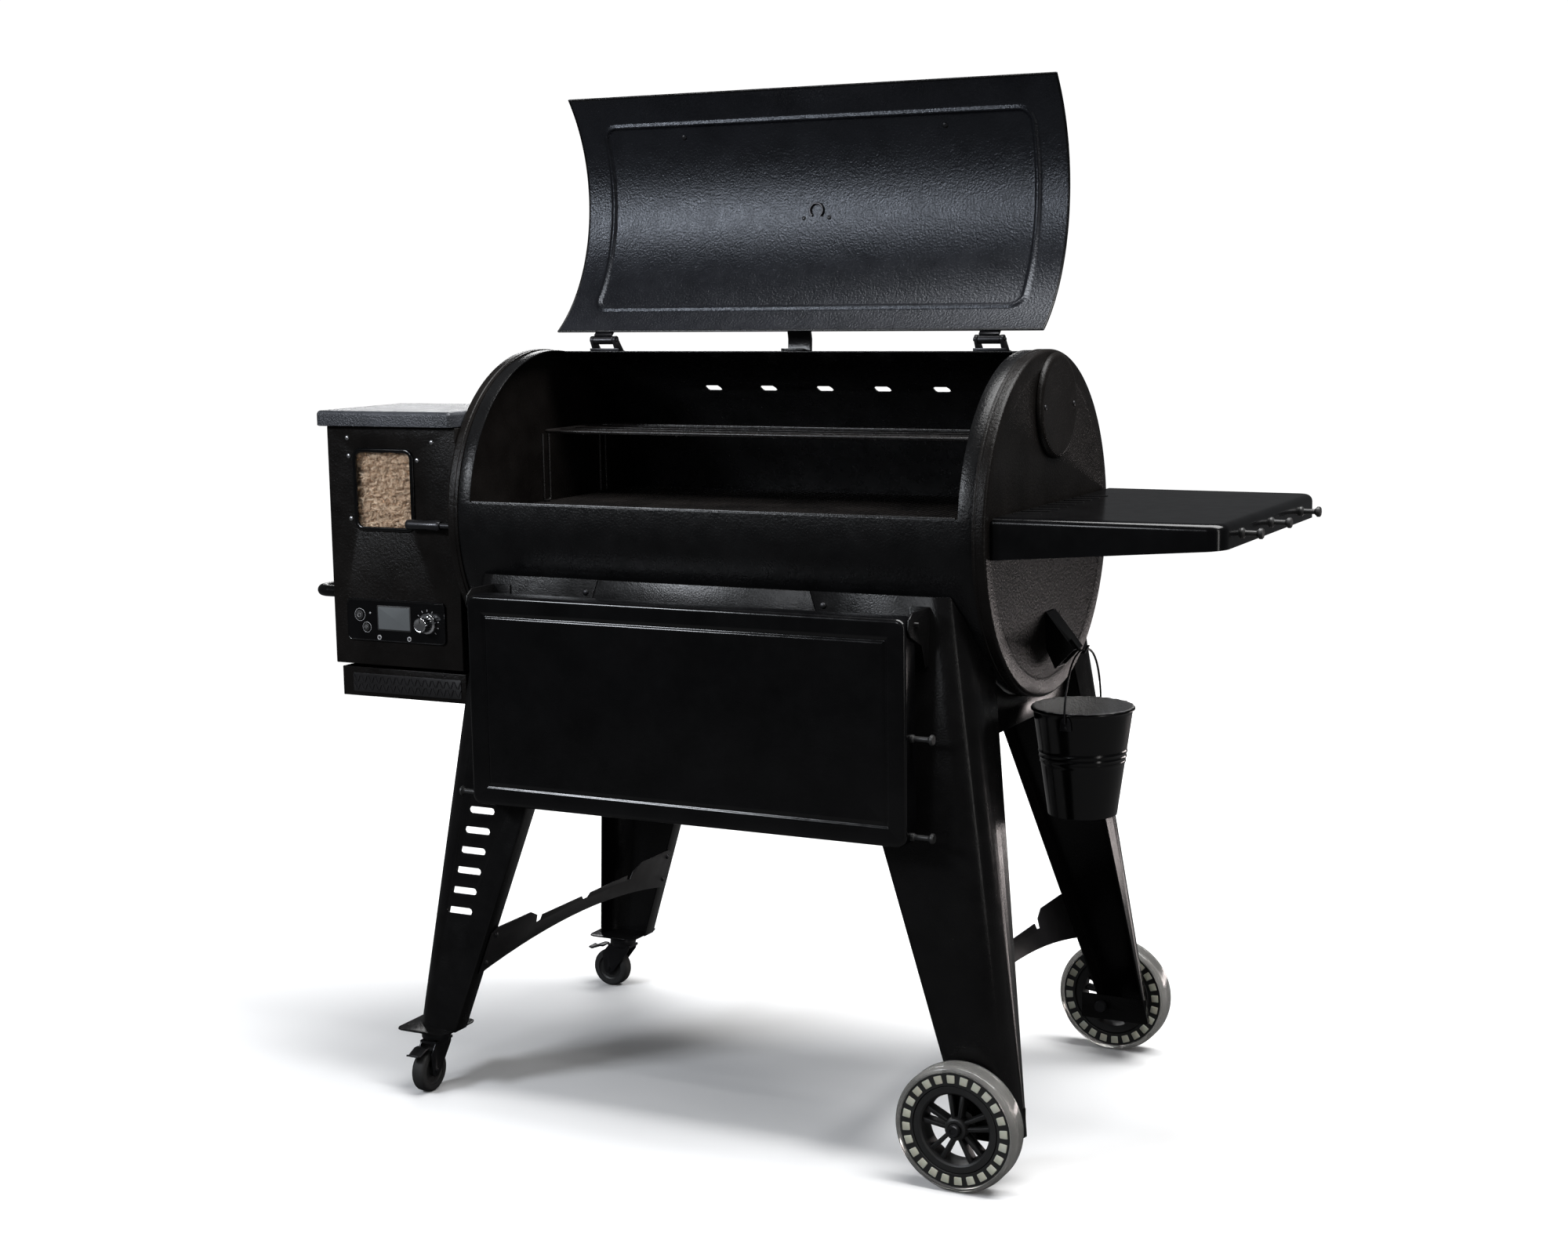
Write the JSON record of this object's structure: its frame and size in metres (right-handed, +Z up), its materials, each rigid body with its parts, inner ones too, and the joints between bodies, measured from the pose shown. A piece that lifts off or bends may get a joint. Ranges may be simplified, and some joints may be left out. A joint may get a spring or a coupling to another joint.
{
  "type": "pellet smoker grill",
  "caption": "Barrel pellet smoker on a wheeled stand, with opening lid, side hopper and controls, side table, folding front table and hanging grease bucket.",
  "frame": {"origin": "centre of the object's box at floor level", "axes": "+X to the grill's right as its user faces it, +Y to its back, +Z up"},
  "size_m": [1.747, 0.802, 1.745],
  "materials": {
    "powder_coat": "orange-peel black powder coat",
    "gloss_enamel": "smooth gloss black enamel",
    "hammered_coat": "hammered dark grey coat",
    "porcelain": "porcelain-coated black iron",
    "steel": "dark plated steel",
    "black_plastic": "moulded black plastic",
    "clear_tyre": "clear tyre with pale tread blocks set inside",
    "rubber": "hard black rubber",
    "chrome": "bright chrome and black dial",
    "window_glass": "clear window"
  },
  "bodies": {
    "frame": {"drum_shell": "powder_coat", "end_cap_left": "powder_coat", "end_cap_right": "powder_coat", "vent_cover": "powder_coat", "grease_spout": "powder_coat", "lid_stop": "powder_coat", "leg_front_left": "powder_coat", "leg_front_right": "powder_coat", "leg_rear_left": "powder_coat", "leg_rear_right": "powder_coat", "apron_front": "powder_coat", "apron_rear": "powder_coat", "side_panel_left": "powder_coat", "side_panel_right": "powder_coat", "leg_brace_left": "powder_coat", "leg_brace_right": "powder_coat", "shelf_bracket_left": "powder_coat", "shelf_bracket_right": "powder_coat", "hopper_body": "powder_coat", "hopper_base": "powder_coat", "vent_grille": "powder_coat", "hopper_handle": "powder_coat", "side_shelf": "gloss_enamel", "control_panel": "gloss_enamel", "cooking_grate_left": "porcelain", "cooking_grate_right": "porcelain", "upper_rack": "porcelain", "fire_pot": "steel", "grease_tray": "steel", "auger_tube": "steel", "lid_hinge_left": "steel", "lid_hinge_right": "steel", "axle_front": "steel", "axle_rear": "steel", "hopper_funnel": "steel", "auger_motor": "steel", "power_inlet": "black_plastic", "hopper_window": "window_glass"},
    "lid": {"lid": "powder_coat", "lid_handle": "steel"},
    "hopper_lid": {"hopper_lid": "hammered_coat"},
    "front_shelf": {"front_shelf": "gloss_enamel"},
    "broiler_slide": {"broiler_slide": "steel"},
    "wheel_front": {"wheel_front": "black_plastic", "tyre_front": "clear_tyre"},
    "wheel_rear": {"wheel_rear": "black_plastic", "tyre_rear": "clear_tyre"},
    "caster_front": {"caster_fork_front": "steel"},
    "caster_rear": {"caster_fork_rear": "steel"},
    "caster_wheel_front": {"caster_wheel_front": "rubber"},
    "caster_wheel_rear": {"caster_wheel_rear": "rubber"},
    "caster_brake_front": {"caster_brake_front": "steel"},
    "caster_brake_rear": {"caster_brake_rear": "steel"},
    "dial": {"dial": "chrome"},
    "power_button": {"power_button": "black_plastic"},
    "prime_button": {"prime_button": "black_plastic"},
    "auger": {"auger": "steel"},
    "fan": {"fan": "black_plastic"},
    "bail": {"bail": "steel"},
    "bucket": {"bucket": "gloss_enamel"}
  },
  "joints": [
    {"name": "lid_hinge", "type": "hinge", "parent": "frame", "child": "lid", "pos_m": [-0.0295, 0.048, 1.31], "axis": [1, 0, 0], "range_deg": [0, 137]},
    {"name": "hopper_lid_hinge", "type": "hinge", "parent": "frame", "child": "hopper_lid", "pos_m": [-0.6745, -0.003, 1.176], "axis": [-1, 0, 0], "range_deg": [0, 100]},
    {"name": "front_shelf_fold", "type": "hinge", "parent": "frame", "child": "front_shelf", "pos_m": [-0.0295, -0.345, 0.885], "axis": [-1, 0, 0], "range_deg": [0, 90]},
    {"name": "broiler_pull", "type": "slide", "parent": "frame", "child": "broiler_slide", "axis": [-1, 0, 0], "range_m": [0, 0.1]},
    {"name": "wheel_front_spin", "type": "hinge", "parent": "frame", "child": "wheel_front", "pos_m": [0.4611, -0.352, 0.1018], "axis": [0, 1, 0], "continuous": true},
    {"name": "wheel_rear_spin", "type": "hinge", "parent": "frame", "child": "wheel_rear", "pos_m": [0.4611, 0.352, 0.1018], "axis": [0, 1, 0], "continuous": true},
    {"name": "caster_front_swivel", "type": "hinge", "parent": "frame", "child": "caster_front", "pos_m": [-0.5645, -0.3235, 0.1], "axis": [0, 0, 1], "continuous": true},
    {"name": "caster_rear_swivel", "type": "hinge", "parent": "frame", "child": "caster_rear", "pos_m": [-0.5645, 0.3235, 0.1], "axis": [0, 0, 1], "continuous": true},
    {"name": "caster_front_roll", "type": "hinge", "parent": "caster_front", "child": "caster_wheel_front", "pos_m": [-0.5645, -0.3495, 0.038], "axis": [1, 0, 0], "continuous": true},
    {"name": "caster_rear_roll", "type": "hinge", "parent": "caster_rear", "child": "caster_wheel_rear", "pos_m": [-0.5905, 0.3235, 0.038], "axis": [0, 1, 0], "continuous": true},
    {"name": "caster_front_brake", "type": "hinge", "parent": "caster_front", "child": "caster_brake_front", "pos_m": [-0.5645, -0.3675, 0.082], "axis": [1, 0, 0], "range_deg": [0, 10]},
    {"name": "caster_rear_brake", "type": "hinge", "parent": "caster_rear", "child": "caster_brake_rear", "pos_m": [-0.6085, 0.3235, 0.082], "axis": [0, -1, 0], "range_deg": [0, 10]},
    {"name": "dial_turn", "type": "hinge", "parent": "frame", "child": "dial", "pos_m": [-0.601, -0.2505, 0.8214], "axis": [0, -1, 0], "range_deg": [0, 300]},
    {"name": "power_press", "type": "slide", "parent": "frame", "child": "power_button", "axis": [0, 1, 0], "range_m": [0, 0.0015], "stiffness_N_per_m": 300},
    {"name": "prime_press", "type": "slide", "parent": "frame", "child": "prime_button", "axis": [0, 1, 0], "range_m": [0, 0.0015], "stiffness_N_per_m": 300},
    {"name": "auger_spin", "type": "hinge", "parent": "frame", "child": "auger", "pos_m": [-0.7575, -0.08, 0.82], "axis": [1, 0, 0], "continuous": true},
    {"name": "fan_spin", "type": "hinge", "parent": "frame", "child": "fan", "pos_m": [-0.6695, -0.08, 0.688], "axis": [0, 0, 1], "continuous": true},
    {"name": "bail_swing", "type": "hinge", "parent": "frame", "child": "bail", "pos_m": [0.5305, -0.005, 0.8047], "axis": [0, -1, 0], "range_deg": [0, 25]},
    {"name": "bucket_tilt", "type": "hinge", "parent": "bail", "child": "bucket", "pos_m": [0.5305, -0.005, 0.697], "axis": [0, -1, 0], "range_deg": [-4, 25]}
  ]
}
